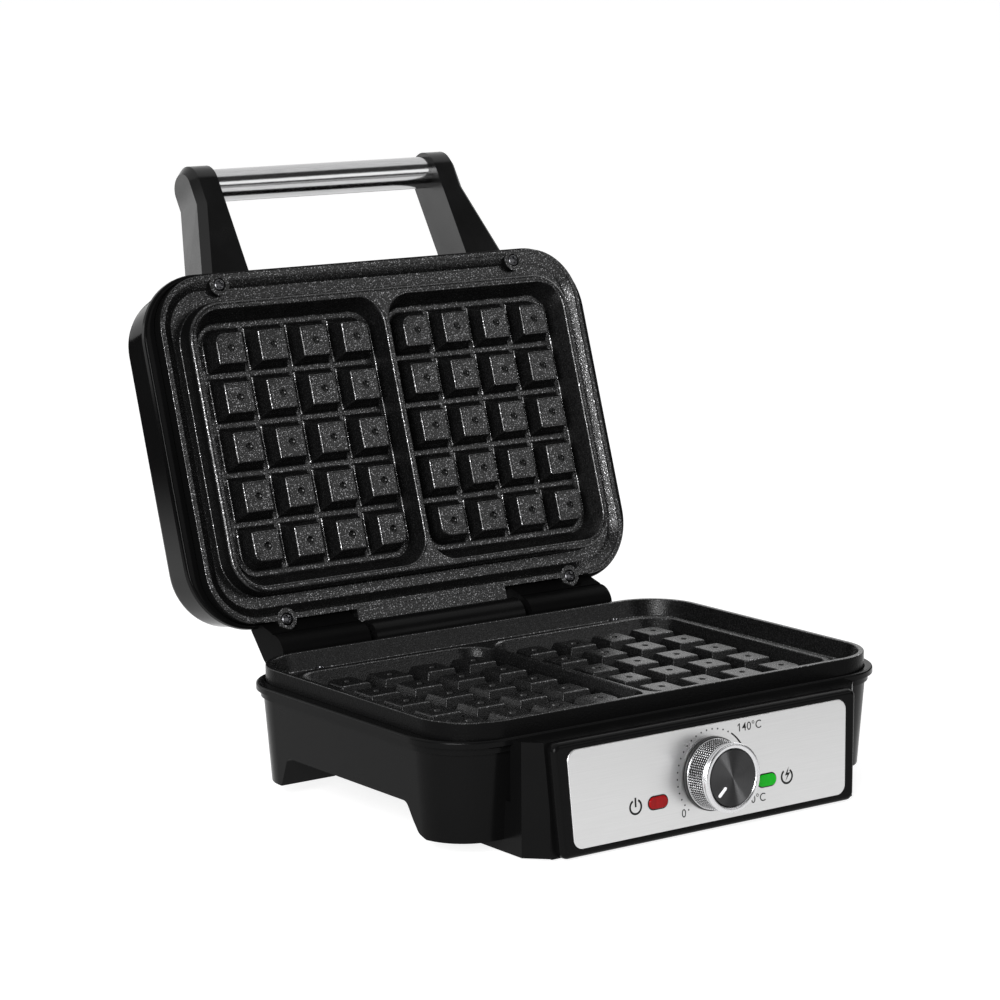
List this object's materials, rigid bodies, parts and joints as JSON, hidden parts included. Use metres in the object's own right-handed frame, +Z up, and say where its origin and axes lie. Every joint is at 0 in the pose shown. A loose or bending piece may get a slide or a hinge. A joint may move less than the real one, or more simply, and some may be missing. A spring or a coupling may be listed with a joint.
{
  "type": "waffle maker",
  "caption": "Double waffle maker standing open: hinged lid with tube handle, pocketed baking plates, front control box with thermostat knob and signal lamps.",
  "frame": {"origin": "on the table plane under the middle of the overall box with the lid open", "axes": "+X to the right seen from the control panel, +Y to the back where the hinge is, +Z up"},
  "size_m": [0.2712, 0.3506, 0.2909],
  "materials": {
    "body_black": "satin black moulding",
    "lid_black": "glossy black moulding",
    "coating": "speckled non-stick coating on cast aluminium",
    "steel_sheet": "fine brushed steel",
    "steel_tube": "satin steel tube",
    "screw_steel": "darkened steel screws",
    "rod_steel": "plain steel rod",
    "heater_steel": "sheathed heating tube",
    "tray_metal": "bright sheet",
    "knob_metal": "knurled and polished metal",
    "knob_disc": "dark spun metal",
    "mark_white": "white pointer",
    "lens_red": "clear red, lit",
    "lens_green": "clear green, lit",
    "lamp_glass": "small neon lamp",
    "stat_plastic": "dark heat-resistant moulding",
    "rubber": "black rubber"
  },
  "bodies": {
    "base": {"base_housing": "body_black", "bottom_cover": "body_black", "bottom_cover_screws": "screw_steel", "front_feet": "rubber", "rear_feet": "rubber", "lower_plate": "coating", "lower_plate_screws": "screw_steel", "lower_heater": "heater_steel", "lower_tray": "tray_metal", "panel_frame": "body_black", "panel_sheet": "steel_sheet", "lens_red": "lens_red", "lens_green": "lens_green", "lamp_red": "lamp_glass", "lamp_green": "lamp_glass", "thermostat": "stat_plastic", "terminal_block": "stat_plastic", "thermal_cutout": "tray_metal", "cord_gland": "rubber", "hinge_rod": "rod_steel"},
    "lid": {"lid_housing": "lid_black", "upper_plate": "coating", "upper_plate_screws": "screw_steel", "upper_heater": "heater_steel", "upper_tray": "tray_metal", "handle_arm_left": "body_black", "handle_arm_right": "body_black", "handle_tube": "steel_tube", "handle_screws": "screw_steel", "hinge_ear_left": "body_black", "hinge_ear_right": "body_black"},
    "knob": {"knob_core": "stat_plastic", "knob_sleeve": "knob_metal", "knob_cap": "knob_disc", "knob_pointer": "mark_white", "thermostat_shaft": "rod_steel"}
  },
  "joints": [
    {"name": "lid_hinge", "type": "hinge", "parent": "base", "child": "lid", "pos_m": [0, 0.05446, 0.06], "axis": [1, 0, 0], "range_deg": [0, 107.9]},
    {"name": "knob_turn", "type": "hinge", "parent": "base", "child": "knob", "pos_m": [0, -0.15886, 0.0274], "axis": [0, 0.9981, -0.061], "range_deg": [0, 263]}
  ]
}
